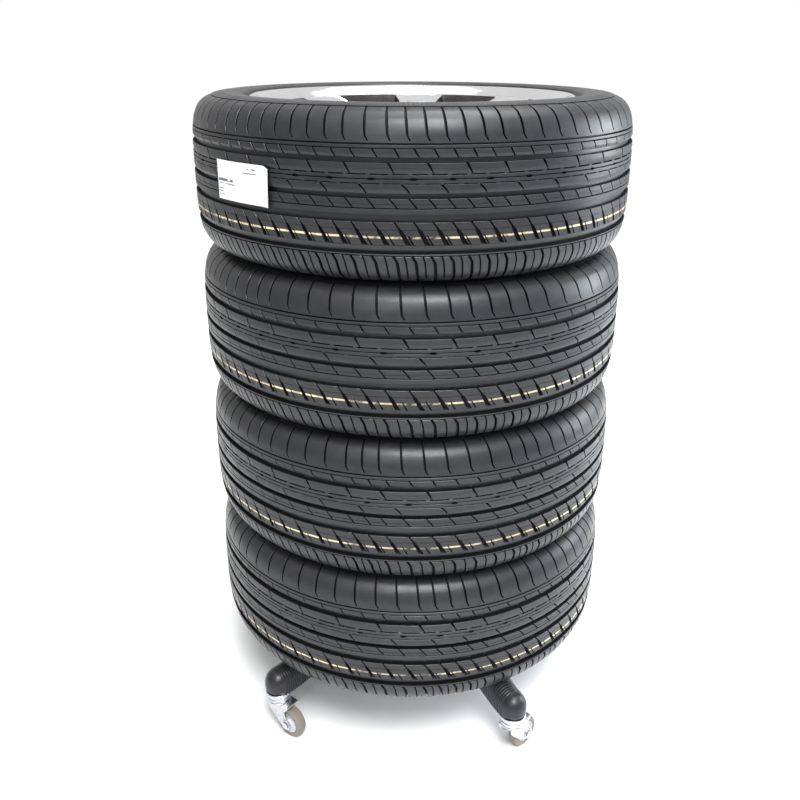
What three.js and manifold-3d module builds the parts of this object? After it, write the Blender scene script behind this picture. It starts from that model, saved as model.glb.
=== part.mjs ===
// Mobile storage rack for car wheels: a five-arm moulded base on swivel castors with a centre post,
// loaded with four wheels that lie face up on one another. Millimetres, +Z up, floor at z = 0,
// origin on the floor under the centre post's axis.
import * as THREE from "three";
import { mergeVertices } from "three/addons/utils/BufferGeometryUtils.js";
import Module from "manifold-3d";

const wasm = await Module();
wasm.setup();

// ---- driving dimensions ----
const gap = 0.3;                       // air between pieces that touch

const tyreRadius = 318.5;              // 205/50 R17
const tyreHalfWidth = 106;
const tyreBulgeRadius = 262;           // where the sidewall is widest
const beadRadius = 218.3;              // 17 inch bead seat
const flangeRadius = 235.5;
const flangeHalfWidth = 97;
const stackPitch = 2 * tyreHalfWidth + gap;
const stackBottom = 121.2;             // underside of the lowest tyre
const stackX = -8;                     // the wheels hang loosely round the post, so the stack
const stackY = -4;                     // stands a little off the post's axis
const wheelCount = 4;

const hubBore = 33.3;                  // centre bore of a wheel
const boltCircle = 56;
const boltCount = 5;
const boltHole = 7;
const spokeCount = 7;
const firstWindow = 62;                // direction of one window between spokes, degrees
const mountingFace = 45;               // offset of the bolting face from the tyre's mid-plane
const seatRadius = 209;                // where the spoked centre is welded into the barrel

const armCount = 5;
const firstArm = 227.5;                // degrees
const castorCircle = 314;              // swivel axes
const armRadius = 20.5;                // rounded arm end
const armSeat = 71;                    // underside of the arm end
const armAxis = 88;                    // height of the dome's centre
const restHeight = stackBottom - gap;  // where the lowest tyre rests on the arms

const castorWheelRadius = 25;
const castorWheelWidth = 18;
const castorTrail = 26;
const armNames = ["front_left", "front_right", "right", "back", "left"];
const castorHeadings = [-36, 46, 205, -75, -20];   // which way each castor trails, degrees

const postRadius = 15;
const postWall = 2.5;
const postFoot = 121;
const postTop = 946;
const capTop = 956;

const roundSegments = 24;              // facets of a tyre and a rim

// ---- materials ----
const finish = (color, roughness, metalness = 0) =>
  new THREE.MeshStandardMaterial({ color, roughness, metalness });
const looks = {
  nylon: finish(0x2b2c2e, 0.55),
  zinc: finish(0xc9ccce, 0.3, 1),
  castorTread: finish(0x96877d, 0.75),
  castorCore: finish(0xd9dadb, 0.45),
  tyre: finish(0x2d2e31, 0.7),
  alloy: finish(0xe4e6e8, 0.15, 1),
  valve: finish(0x1c1c1d, 0.6),
  steel: finish(0x8d9196, 0.35, 1),
  paper: finish(0xf4f4f2, 0.8),
};

// ---- solids ----
// One welded, closed, outward-facing mesh with positions only.
function weld(geometry) {
  geometry.deleteAttribute("normal");
  geometry.deleteAttribute("uv");
  const merged = mergeVertices(geometry);
  const source = merged.index.array;
  const kept = [];
  for (let i = 0; i < source.length; i += 3) {
    const [a, b, c] = [source[i], source[i + 1], source[i + 2]];
    if (a !== b && b !== c && c !== a) kept.push(a, b, c);
  }
  const p = merged.attributes.position;
  const corner = (k) => new THREE.Vector3().fromBufferAttribute(p, k);
  let volume = 0;
  for (let i = 0; i < kept.length; i += 3) {
    volume += corner(kept[i]).dot(corner(kept[i + 1]).cross(corner(kept[i + 2])));
  }
  if (volume < 0) kept.reverse();
  merged.setIndex(kept);
  return merged;
}

function toSolid(geometry) {
  const g = weld(geometry);
  return new wasm.Manifold(new wasm.Mesh({
    numProp: 3,
    vertProperties: new Float32Array(g.attributes.position.array),
    triVerts: new Uint32Array(g.index.array),
  }));
}

function toGeometry(solid) {
  const mesh = solid.getMesh();
  const geometry = new THREE.BufferGeometry();
  geometry.setAttribute("position", new THREE.BufferAttribute(new Float32Array(mesh.vertProperties), 3));
  geometry.setIndex(new THREE.BufferAttribute(new Uint32Array(mesh.triVerts), 1));
  return geometry;
}

// A turned piece about Z. The profile is a closed loop of [radius, height] points, or an open one
// that starts and ends on the axis.
function turned(profile, segments = roundSegments) {
  const points = profile.map(([r, z]) => new THREE.Vector2(r, z));
  if (profile[0][0] > 0) points.push(points[0].clone());
  return new THREE.LatheGeometry(points, segments).rotateX(Math.PI / 2);
}

function pin(radius, low, high, segments = 12) {
  return turned([[0, low], [radius, low], [radius, high], [0, high]], segments);
}

// A solid through matching convex rings of points, closed by a fan at each end.
function loft(rings) {
  const count = rings[0].length;
  const index = [];
  for (let i = 0; i + 1 < rings.length; i += 1) {
    for (let j = 0; j < count; j += 1) {
      const a = i * count + j;
      const b = i * count + (j + 1) % count;
      index.push(a, b, b + count, a, b + count, a + count);
    }
  }
  const last = (rings.length - 1) * count;
  for (let j = 1; j + 1 < count; j += 1) {
    index.push(0, j + 1, j, last, last + j, last + j + 1);
  }
  const geometry = new THREE.BufferGeometry().setFromPoints(rings.flat());
  geometry.setIndex(index);
  return geometry;
}

const radians = THREE.MathUtils.degToRad;
const joined = (solids) => solids.reduce((all, next) => all.add(next));
const around = (count, first, make) =>
  Array.from({ length: count }, (_, i) => make().rotateZ(radians(first + i * 360 / count)));

// ---- tyre and wheel, about their own axis and mid-plane ----
// A hollow carcass, open towards the rim between its two beads.
function tyreGeometry() {
  const upperOutside = [
    [tyreRadius, 40], [313, 82], [297, 100], [tyreBulgeRadius, tyreHalfWidth],
    [240, 91], [beadRadius + gap, 88.4], [beadRadius + gap, 66],
  ];
  const upperLiner = [[250, 90], [306, 72]];
  const upper = [...upperOutside, ...upperLiner];
  const lower = upper.map(([r, z]) => [r, -z]).reverse();
  return turned([...lower.slice(2), ...upperOutside, ...upperLiner, ...lower.slice(0, 2)]);
}

function barrelGeometry() {
  const outside = [
    [222, -flangeHalfWidth], [flangeRadius, -95], [flangeRadius, -91], [beadRadius, -88.7],
    [216, -30], [196, 4], [196, 44], [216, 60],
    [beadRadius, 88.7], [flangeRadius, 91], [flangeRadius, 95], [222, flangeHalfWidth],
  ];
  const inside = [[seatRadius, 80], [seatRadius, 60], [189, 48], [189, 4], [209, -28]];
  return turned([...outside, ...inside]);
}

// Spoked centre: a hub with spokes that reach out to the barrel. It is dished: it rises by `rise`
// from the hub to the spokes' ends.
function spokesGeometry() {
  const thickness = 17;
  const rise = 28;
  const hubRadius = 88;
  const tipRadius = (seatRadius - gap) * Math.cos(Math.PI / roundSegments) - gap;
  const hubHalf = 180 / spokeCount - 8;
  const tipHalf = 180 / spokeCount - 15;
  const polar = (r, degrees) => new THREE.Vector2(r * Math.cos(radians(degrees)), r * Math.sin(radians(degrees)));
  const ring = (r, count) => Array.from({ length: count }, (_, i) => polar(r, i * 360 / count));
  const outline = [];
  for (let i = 0; i < spokeCount; i += 1) {
    const middle = firstWindow + (i + 0.5) * 360 / spokeCount;
    outline.push(polar(hubRadius, middle - hubHalf), polar(tipRadius, middle - tipHalf),
      polar(tipRadius, middle), polar(tipRadius, middle + tipHalf), polar(hubRadius, middle + hubHalf));
  }
  const star = new THREE.Shape(outline);
  star.holes.push(new THREE.Path(ring(hubBore, 12)));
  for (let i = 0; i < boltCount; i += 1) {
    const centre = polar(boltCircle, i * 360 / boltCount);
    star.holes.push(new THREE.Path(ring(boltHole, 6).map((p) => p.add(centre))));
  }
  const plate = new THREE.ExtrudeGeometry(star, { depth: thickness, bevelEnabled: false });
  const p = plate.attributes.position;
  for (let i = 0; i < p.count; i += 1) {
    const reach = Math.max(0, Math.hypot(p.getX(i), p.getY(i)) - hubRadius) / (tipRadius - hubRadius);
    p.setZ(i, mountingFace + p.getZ(i) + rise * reach);
  }
  return plate;
}

// Rubber snap-in valve leaning in from the barrel's face side, in the middle of a window.
function valveGeometry() {
  const stem = turned([[0, 0], [7, 0], [6, 6], [3.6, 10], [3.6, 32], [0, 32]], 8);
  return stem.rotateY(radians(-78)).translate(185.8, 0, 29).rotateZ(radians(firstWindow));
}

// Blank paper sticker on the tread of the top tyre.
function labelGeometry() {
  const sheet = { inside: tyreRadius + 0.4, outside: tyreRadius + 0.8, low: -17, high: 32.5 };
  const sides = { from: 219.3, to: 236, steps: 6 };
  const rings = [];
  for (let i = 0; i <= sides.steps; i += 1) {
    const a = radians(sides.from + (sides.to - sides.from) * i / sides.steps);
    const at = (r, z) => new THREE.Vector3(r * Math.cos(a), r * Math.sin(a), z);
    rings.push([at(sheet.inside, sheet.low), at(sheet.outside, sheet.low),
      at(sheet.outside, sheet.high), at(sheet.inside, sheet.high)]);
  }
  return loft(rings);
}

// ---- base ----
// Arched section of an arm at distance r from the post: flat underside, round top.
function archSection(r, halfWidth, low, high) {
  const arch = Math.min(halfWidth, high - low - 2);
  const ring = [new THREE.Vector3(r, halfWidth, low)];
  const steps = 4;
  for (let i = 0; i <= steps; i += 1) {
    const a = Math.PI * i / steps;
    ring.push(new THREE.Vector3(r, halfWidth * Math.cos(a), high - arch + arch * Math.sin(a)));
  }
  ring.push(new THREE.Vector3(r, -halfWidth, low));
  return ring;
}

function armGeometry() {
  const rings = [
    archSection(30, 24, 104, 158),
    archSection(120, 22.5, 96, 143),
    archSection(222, 21, 82, 125),
    archSection(246, 20.8, 78, restHeight),
    archSection(277, 20.5, 73, restHeight - 1),
    archSection(castorCircle - 16, armRadius, armSeat, 116.5),
  ];
  const endSteps = 3;
  for (let i = 0; i <= endSteps; i += 1) {
    const a = radians(82 * i / endSteps);
    const high = armAxis + (armRadius + 2) * Math.cos(a);
    rings.push(archSection(castorCircle + armRadius * Math.sin(a), armRadius * Math.cos(a), armSeat, high));
  }
  return loft(rings);
}

// The hollow under an arm, which leaves a moulded wall of about 4 mm.
function armHollowGeometry() {
  const wall = 4;
  return loft([
    archSection(52, 24 - wall, 90, 153 - wall),
    archSection(120, 22.5 - wall, 80, 143 - wall),
    archSection(222, 21 - wall, 70, 125 - wall),
    archSection(246, 20.8 - wall, 68, restHeight - wall),
    archSection(castorCircle - 24, armRadius - wall, 60, 118 - wall),
  ]);
}

const hubLow = 104;
const hubTop = 168;
const socketFloor = postFoot - gap;
const stemTop = 98;

function baseGeometry() {
  const hub = toSolid(turned([[0, hubLow], [44, hubLow], [42, 152], [27, hubTop], [0, hubTop]], 15));
  const arms = around(armCount, firstArm, armGeometry).map(toSolid);
  const hollows = around(armCount, firstArm, armHollowGeometry).map(toSolid);
  const socket = toSolid(pin(postRadius + gap, socketFloor, hubTop + 1, 16));
  const boltWay = toSolid(pin(6.6, hubLow - 1, socketFloor + 1, 12));
  const stemWays = around(armCount, firstArm,
    () => pin(5.5, armSeat - 1, stemTop + gap, 10).translate(castorCircle, 0, 0)).map(toSolid);
  return toGeometry(joined([hub, ...arms]).subtract(joined([...hollows, socket, boltWay, ...stemWays])));
}

function postGeometry() {
  const bore = postRadius - postWall;
  return turned([[bore, postFoot], [postRadius, postFoot], [postRadius, postTop], [bore, postTop]], 16);
}

// Threaded slug welded into the post's foot. It leaves a through bore for the bolt.
const slugGeometry = () => turned([[6.4, postFoot], [postRadius - postWall - gap, postFoot],
  [postRadius - postWall - gap, postFoot + 22], [6.4, postFoot + 22]], 12);

const washerGeometry = () => turned([[6.6, hubLow - gap - 2.5], [17, hubLow - gap - 2.5],
  [17, hubLow - gap], [6.6, hubLow - gap]], 16);

function boltGeometry() {
  const seat = hubLow - 2 * gap - 2.5;
  return turned([[0, seat - 7.5], [10, seat - 7.5], [10, seat], [6, seat], [6, postFoot + 20], [0, postFoot + 20]], 6);
}

// Domed plastic cap plugged into the post's top.
function capGeometry() {
  const seat = postTop + gap;
  const plug = postRadius - postWall - gap;
  return turned([[0, postTop - 18], [plug, postTop - 18], [plug, seat], [20.5, seat],
    [20.5, seat + 2], [17, seat + 6.5], [7, capTop], [0, capTop]], 16);
}

// ---- castor, about its swivel axis, trailing towards +X ----
const forkTop = 59;
const raceLow = forkTop + gap;
const raceTop = armSeat - gap;
const stemRadius = 5;

// Pressed-in pintle, riveted over under the fork's crown.
function stemGeometry() {
  return turned([[0, 51], [8, 51], [8, 54.2], [stemRadius, 54.2], [stemRadius, stemTop], [0, stemTop]], 8);
}

function raceGeometry() {
  return turned([[stemRadius + 0.4, raceLow], [18.5, raceLow], [20, raceLow + 3], [20, raceTop],
    [stemRadius + 0.4, raceTop]], 14);
}

// Pressed fork: a round crown, a plate over the wheel and two cheeks that reach down to the axle.
function forkGeometry() {
  const cheekInside = castorWheelWidth / 2 + 1.6;
  const cheek = new THREE.Shape([
    [-18, 58], [30, 58], [30, 55], [22, 47], [25, 37], [35, 29], [35, 20], [30, 16], [22, 16], [3, 30], [-16, 49],
  ].map(([x, y]) => new THREE.Vector2(x, y)));
  const plate = () => new THREE.ExtrudeGeometry(cheek, { depth: 2.2, bevelEnabled: false }).rotateX(Math.PI / 2);
  const crown = toSolid(turned([[0, 55], [19, 55], [19, forkTop], [0, forkTop]], 12));
  const bridge = toSolid(new THREE.BoxGeometry(47, 2 * cheekInside + 2, 3).translate(6.5, 0, 56.4));
  const pivot = toSolid(pin(stemRadius + 0.5, 50, 62, 10));
  const axleHole = toSolid(new THREE.CylinderGeometry(4.7, 4.7, 60, 8).translate(castorTrail, 0, castorWheelRadius));
  const cheeks = [toSolid(plate().translate(0, cheekInside + 2.2, 0)), toSolid(plate().translate(0, -cheekInside, 0))];
  return toGeometry(joined([crown, bridge, ...cheeks]).subtract(pivot).subtract(axleHole));
}

// The axle and the wheel are turned about Y through the axle's centre.
const acrossFork = (geometry) => geometry.rotateX(Math.PI / 2);

function axleGeometry() {
  const head = castorWheelWidth / 2 + 1.6 + 2.2 + gap;
  return acrossFork(turned([[0, -head - 3], [6.5, -head - 3], [6.5, -head], [4, -head], [4, head],
    [6.5, head], [6.5, head + 3], [0, head + 3]], 8));
}

function coreGeometry() {
  const half = castorWheelWidth / 2;
  return acrossFork(turned([[4.4, -half - 1], [8, -half - 1], [16.2, -half + 1], [16.2, half - 1],
    [8, half + 1], [4.4, half + 1]], 12));
}

// Sixteen flats, one of them facing the floor, so that the wheel stands at its full radius.
function treadGeometry() {
  const half = castorWheelWidth / 2;
  const flats = 16;
  const outer = castorWheelRadius / Math.cos(Math.PI / flats);
  const ring = turned([[17.2, -half], [outer - 3, -half], [outer, -half + 3], [outer, half - 3],
    [outer - 3, half], [17.2, half]], flats);
  return acrossFork(ring.rotateZ(Math.PI / flats));
}

// ---- assembly ----
const rack = new THREE.Group();

function piece(parent, name, geometry, material, place = [0, 0, 0]) {
  const mesh = new THREE.Mesh(weld(geometry), material.clone());
  mesh.name = name;
  mesh.position.set(...place);
  parent.add(mesh);
  return mesh;
}

piece(rack, "star_base", baseGeometry(), looks.nylon);
piece(rack, "centre_post", postGeometry(), looks.steel);
piece(rack, "post_slug", slugGeometry(), looks.steel);
piece(rack, "post_cap", capGeometry(), looks.nylon);
piece(rack, "hub_washer", washerGeometry(), looks.zinc);
piece(rack, "hub_bolt", boltGeometry(), looks.zinc);

armNames.forEach((side, i) => {
  const direction = radians(firstArm + i * 360 / armCount);
  const castor = new THREE.Group();
  castor.position.set(castorCircle * Math.cos(direction), castorCircle * Math.sin(direction), 0);
  castor.rotation.z = radians(castorHeadings[i]);
  rack.add(castor);
  piece(castor, `${side}_castor_stem`, stemGeometry(), looks.zinc);
  piece(castor, `${side}_castor_race`, raceGeometry(), looks.zinc);
  piece(castor, `${side}_castor_fork`, forkGeometry(), looks.zinc);
  const axle = [castorTrail, 0, castorWheelRadius];
  piece(castor, `${side}_castor_axle`, axleGeometry(), looks.zinc, axle);
  piece(castor, `${side}_castor_core`, coreGeometry(), looks.castorCore, axle);
  piece(castor, `${side}_castor_tread`, treadGeometry(), looks.castorTread, axle);
});

for (let i = 0; i < wheelCount; i += 1) {
  const wheel = new THREE.Group();
  wheel.position.set(stackX, stackY, stackBottom + tyreHalfWidth + i * stackPitch);
  rack.add(wheel);
  const level = i + 1;
  piece(wheel, `wheel_${level}_tyre`, tyreGeometry(), looks.tyre);
  piece(wheel, `wheel_${level}_barrel`, barrelGeometry(), looks.alloy);
  piece(wheel, `wheel_${level}_spokes`, spokesGeometry(), looks.alloy);
  piece(wheel, `wheel_${level}_valve`, valveGeometry(), looks.valve);
  if (level === wheelCount) piece(wheel, "paper_label", labelGeometry(), looks.paper);
}

export default rack;
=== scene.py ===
import math
import random

import bpy
import numpy as np
from mathutils import Matrix, Vector


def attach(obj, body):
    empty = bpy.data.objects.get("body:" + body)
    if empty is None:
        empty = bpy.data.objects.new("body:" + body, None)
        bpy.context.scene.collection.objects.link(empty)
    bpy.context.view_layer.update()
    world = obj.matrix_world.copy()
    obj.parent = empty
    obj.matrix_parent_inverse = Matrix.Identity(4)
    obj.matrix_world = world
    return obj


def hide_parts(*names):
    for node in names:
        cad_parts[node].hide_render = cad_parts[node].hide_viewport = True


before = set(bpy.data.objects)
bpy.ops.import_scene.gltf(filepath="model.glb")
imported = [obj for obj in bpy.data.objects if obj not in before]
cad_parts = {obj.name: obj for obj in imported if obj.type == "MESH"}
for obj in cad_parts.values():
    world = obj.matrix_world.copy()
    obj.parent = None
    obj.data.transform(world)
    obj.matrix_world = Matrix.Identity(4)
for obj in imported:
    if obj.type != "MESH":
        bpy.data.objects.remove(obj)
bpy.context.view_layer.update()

MM = 0.001
STACK = (-8, -4)  # the wheels hang loosely, so they stand a little off the post
WHEEL_MIDDLES = [227.2 + 212.3 * level for level in range(4)]
CASTOR_SIDES = ["front_left", "front_right", "right", "back", "left"]
CASTOR_HEADINGS = [-36, 46, 205, -75, -20]
FIRST_ARM = 227.5
CASTOR_CIRCLE = 314
AXLE = (26, 0, 25)

# ---------------------------------------------------------------- camera


def set_camera():
    turn, pitch, roll = -0.02356, 0.35728, -0.0022
    forward = Vector((math.sin(turn) * math.cos(pitch), math.cos(turn) * math.cos(pitch), -math.sin(pitch)))
    level = Vector((math.cos(turn), -math.sin(turn), 0))
    down = forward.cross(level)
    right = math.cos(roll) * level + math.sin(roll) * down
    up = math.sin(roll) * level - math.cos(roll) * down
    lens = bpy.data.cameras.new("view")
    lens.sensor_width = 36
    lens.lens = 37.683
    lens.shift_x = -0.0054
    lens.shift_y = -0.0584
    camera = bpy.data.objects.new("view", lens)
    bpy.context.collection.objects.link(camera)
    turned_to = Matrix((right, up, -forward)).transposed().to_4x4()
    camera.matrix_world = Matrix.Translation((0.01124, -1.28562, 1.0373)) @ turned_to
    bpy.context.scene.camera = camera


set_camera()

# ---------------------------------------------------------------- shared finish groups


def new_group(name, inputs, outputs):
    group = bpy.data.node_groups.new(name, "ShaderNodeTree")
    for label, kind, value in inputs:
        socket = group.interface.new_socket(label, in_out="INPUT", socket_type=kind)
        socket.default_value = value
    for label, kind in outputs:
        group.interface.new_socket(label, in_out="OUTPUT", socket_type=kind)
    start = group.nodes.new("NodeGroupInput")
    end = group.nodes.new("NodeGroupOutput")
    return group, start.outputs, end.inputs


def add(tree, kind, values=None, **settings):
    made = tree.nodes.new(kind)
    for key, value in settings.items():
        setattr(made, key, value)
    for key, value in (values or {}).items():
        if isinstance(value, bpy.types.NodeSocket):
            tree.links.new(value, made.inputs[key])
        else:
            made.inputs[key].default_value = value
    return made


def maths(tree, operation, a, b=0.0, c=0.0):
    return add(tree, "ShaderNodeMath", {0: a, 1: b, 2: c}, operation=operation).outputs[0]


def noise(tree, place, scale, detail=3.0, roughness=0.5):
    values = {"Vector": place, "Scale": scale, "Detail": detail, "Roughness": roughness}
    return add(tree, "ShaderNodeTexNoise", values).outputs["Fac"]


def stretch(tree, value, low, high, to_low=0.0, to_high=1.0):
    values = {0: value, 1: low, 2: high, 3: to_low, 4: to_high}
    return add(tree, "ShaderNodeMapRange", values, clamp=True).outputs[0]


def mixed(tree, factor, a, b):
    return add(tree, "ShaderNodeMix", {0: factor, 6: a, 7: b}, data_type="RGBA").outputs[2]


def object_place(tree):
    return add(tree, "ShaderNodeTexCoord").outputs["Object"]


# Two tones that drift into one another, as in moulded rubber, plastic or plated steel.
def make_cloudy_tone():
    group, given, out = new_group(
        "cloudy tone",
        [("Light", "NodeSocketColor", (1, 1, 1, 1)), ("Dark", "NodeSocketColor", (0, 0, 0, 1)),
         ("Scale", "NodeSocketFloat", 20.0), ("Contrast", "NodeSocketFloat", 0.5)],
        [("Color", "NodeSocketColor"), ("Mask", "NodeSocketFloat")])
    place = object_place(group)
    broad = noise(group, place, given["Scale"], 4.0, 0.6)
    fine = noise(group, place, maths(group, "MULTIPLY", given["Scale"], 7.0), 3.0, 0.6)
    both = maths(group, "ADD", maths(group, "MULTIPLY", broad, 0.7), maths(group, "MULTIPLY", fine, 0.3))
    half = maths(group, "MULTIPLY", given["Contrast"], 0.3)
    low = maths(group, "ADD", 0.2, half)
    high = maths(group, "SUBTRACT", 0.8, half)
    mask = stretch(group, both, low, high)
    group.links.new(mixed(group, mask, given["Dark"], given["Light"]), out["Color"])
    group.links.new(mask, out["Mask"])
    return group


# Height of a fine moulded or blasted grain.
def make_fine_grain():
    group, given, out = new_group(
        "fine grain",
        [("Scale", "NodeSocketFloat", 900.0), ("Coarse", "NodeSocketFloat", 0.3)],
        [("Height", "NodeSocketFloat")])
    place = object_place(group)
    small = noise(group, place, given["Scale"], 2.0, 0.55)
    large = noise(group, place, maths(group, "MULTIPLY", given["Scale"], 0.22), 2.0, 0.5)
    height = maths(group, "ADD", small, maths(group, "MULTIPLY", large, given["Coarse"]))
    group.links.new(height, out["Height"])
    return group


# Pale dust that settles on faces that look up, thicker in some places than in others.
def make_settled_dust():
    group, given, out = new_group(
        "settled dust",
        [("Color", "NodeSocketColor", (0, 0, 0, 1)), ("Dust", "NodeSocketColor", (0.3, 0.29, 0.27, 1)),
         ("Amount", "NodeSocketFloat", 0.3), ("Scale", "NodeSocketFloat", 30.0)],
        [("Color", "NodeSocketColor"), ("Mask", "NodeSocketFloat")])
    facing = add(group, "ShaderNodeNewGeometry").outputs["Normal"]
    looks_up = add(group, "ShaderNodeSeparateXYZ", {0: facing})
    upward = stretch(group, looks_up.outputs["Z"], 0.1, 1.0)
    patches = stretch(group, noise(group, object_place(group), given["Scale"], 5.0, 0.65), 0.35, 0.75)
    mask = maths(group, "MULTIPLY", maths(group, "MULTIPLY", upward, patches), given["Amount"])
    group.links.new(mixed(group, mask, given["Color"], given["Dust"]), out["Color"])
    group.links.new(mask, out["Mask"])
    return group


# Rubbed edges and painted edge highlights: a mask of the sharp outward edges, broken by noise. On the black
# nylon the lighter edges are painted highlights along the rib crests; on the castors and the label they are
# wear and soiling.
def make_worn_and_lit_edges():
    group, given, out = new_group(
        "rubbed edges",
        [("Color", "NodeSocketColor", (0, 0, 0, 1)), ("Wear And Highlight", "NodeSocketColor", (0.5, 0.5, 0.5, 1)),
         ("Amount", "NodeSocketFloat", 0.4)],
        [("Color", "NodeSocketColor"), ("Mask", "NodeSocketFloat")])
    point = add(group, "ShaderNodeNewGeometry").outputs["Pointiness"]
    edge = stretch(group, point, 0.52, 0.62)
    broken = stretch(group, noise(group, object_place(group), 120.0, 4.0, 0.6), 0.35, 0.65)
    mask = maths(group, "MULTIPLY", maths(group, "MULTIPLY", edge, broken), given["Amount"])
    group.links.new(mixed(group, mask, given["Color"], given["Wear And Highlight"]), out["Color"])
    group.links.new(mask, out["Mask"])
    return group


CLOUDY_TONE = make_cloudy_tone()
FINE_GRAIN = make_fine_grain()
SETTLED_DUST = make_settled_dust()
WORN_AND_LIT_EDGES = make_worn_and_lit_edges()


def place_group(tree, group, values):
    return add(tree, "ShaderNodeGroup", values, node_tree=group).outputs


def new_finish(name):
    finish = bpy.data.materials.new(name)
    finish.use_nodes = True
    tree = finish.node_tree
    return finish, tree, tree.nodes["Principled BSDF"]


def grain_bump(tree, shader, scale, strength, distance=0.0002):
    height = place_group(tree, FINE_GRAIN, {"Scale": scale, "Coarse": 0.3})["Height"]
    bump = add(tree, "ShaderNodeBump", {"Height": height, "Strength": strength, "Distance": distance})
    tree.links.new(bump.outputs["Normal"], shader.inputs["Normal"])


def grey(value, warm=0.0):
    return (value * (1 + warm), value, value * (1 - warm), 1)


# ---------------------------------------------------------------- finishes


SERRATIONS = 340.0


def tyre_rubber():
    finish, tree, shader = new_finish("tyre rubber")
    tone = place_group(tree, CLOUDY_TONE, {"Light": (0.019, 0.0195, 0.0215, 1),
                                           "Dark": (0.0085, 0.0088, 0.0098, 1),
                                           "Scale": 9.0, "Contrast": 0.3})
    dusty = place_group(tree, SETTLED_DUST, {"Color": tone["Color"], "Dust": (0.16, 0.155, 0.15, 1),
                                             "Amount": 0.1, "Scale": 22.0})
    place = object_place(tree)
    parts = add(tree, "ShaderNodeSeparateXYZ", {0: place}).outputs
    flat = add(tree, "ShaderNodeCombineXYZ", {0: parts["X"], 1: parts["Y"]}).outputs[0]
    radius = add(tree, "ShaderNodeVectorMath", {0: flat}, operation="LENGTH").outputs["Value"]
    # the maker's running paint line round the tread, partly rubbed away
    waver = maths(tree, "MULTIPLY", maths(tree, "SUBTRACT", noise(tree, place, 14.0, 2.0), 0.5), 0.0016)
    off_line = maths(tree, "ABSOLUTE", maths(tree, "ADD", maths(tree, "ADD", parts["Z"], 0.043), waver))
    on_line = stretch(tree, off_line, 0.001, 0.0015, 1.0, 0.0)
    on_top = stretch(tree, radius, 0.3145, 0.3155)
    kept = stretch(tree, noise(tree, place, 60.0, 5.0, 0.7), 0.36, 0.5)
    faded = stretch(tree, noise(tree, place, 5.0, 2.0, 0.5), 0.36, 0.62, 0.45, 1.0)
    whole = maths(tree, "MULTIPLY", on_line, on_top)
    paint = maths(tree, "MULTIPLY", whole, maths(tree, "MULTIPLY", kept, faded))
    color = mixed(tree, paint, dusty["Color"], (0.85, 0.72, 0.46, 1))
    tree.links.new(color, shader.inputs["Base Color"])
    rough = stretch(tree, noise(tree, place, 35.0, 4.0, 0.6), 0.3, 0.7, 0.29, 0.44)
    tree.links.new(rough, shader.inputs["Roughness"])
    shader.inputs["Specular IOR Level"].default_value = 0.34
    # fine radial serrations on the sidewall, over the moulded grain
    angle = maths(tree, "ARCTAN2", parts["Y"], parts["X"])
    wave = maths(tree, "SINE", maths(tree, "MULTIPLY", angle, SERRATIONS))
    teeth = maths(tree, "MULTIPLY_ADD", wave, 0.5, 0.5)
    inner = stretch(tree, radius, 0.2715, 0.272)
    outer = stretch(tree, radius, 0.2835, 0.284, 1.0, 0.0)
    height = place_group(tree, FINE_GRAIN, {"Scale": 1100.0, "Coarse": 0.6})["Height"]
    serration = maths(tree, "MULTIPLY", teeth, maths(tree, "MULTIPLY", inner, outer))
    both = maths(tree, "ADD", maths(tree, "MULTIPLY", height, 0.25), serration)
    bump = add(tree, "ShaderNodeBump", {"Height": both, "Strength": 0.6, "Distance": 0.0006})
    tree.links.new(bump.outputs["Normal"], shader.inputs["Normal"])
    return finish


def metal(name, light, dark, scale, rough_low, rough_high, grain, strength, wear_and_highlight=0.0):
    finish, tree, shader = new_finish(name)
    tone = place_group(tree, CLOUDY_TONE, {"Light": light, "Dark": dark, "Scale": scale, "Contrast": 0.4})
    color = tone["Color"]
    if wear_and_highlight:
        rubbed_and_lit = {"Color": color, "Wear And Highlight": grey(0.85), "Amount": wear_and_highlight}
        color = place_group(tree, WORN_AND_LIT_EDGES, rubbed_and_lit)["Color"]
    tree.links.new(color, shader.inputs["Base Color"])
    patches = noise(tree, object_place(tree), scale * 1.7, 5.0, 0.65)
    rough = stretch(tree, patches, 0.3, 0.7, rough_low, rough_high)
    tree.links.new(rough, shader.inputs["Roughness"])
    shader.inputs["Metallic"].default_value = 1.0
    grain_bump(tree, shader, grain, strength)
    return finish


def plastic(name, light, dark, rough_low, rough_high, grain, strength, dust=0.0, rubbed_and_lit=0.0):
    finish, tree, shader = new_finish(name)
    tones = {"Light": light, "Dark": dark, "Scale": 25.0, "Contrast": 0.3}
    color = place_group(tree, CLOUDY_TONE, tones)["Color"]
    if rubbed_and_lit:
        # the lighter edge colour is a painted highlight on the black nylon and wear on the castor parts
        wear_and_highlight = tuple(min(1.0, c * 2.4) for c in light[:3]) + (1,)
        color = place_group(tree, WORN_AND_LIT_EDGES, {"Color": color, "Wear And Highlight": wear_and_highlight, "Amount": rubbed_and_lit})["Color"]
    if dust:
        color = place_group(tree, SETTLED_DUST, {"Color": color, "Amount": dust, "Scale": 40.0})["Color"]
    tree.links.new(color, shader.inputs["Base Color"])
    rough = stretch(tree, noise(tree, object_place(tree), 60.0, 4.0, 0.6), 0.3, 0.7, rough_low, rough_high)
    tree.links.new(rough, shader.inputs["Roughness"])
    grain_bump(tree, shader, grain, strength, 0.0003)
    return finish


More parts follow.
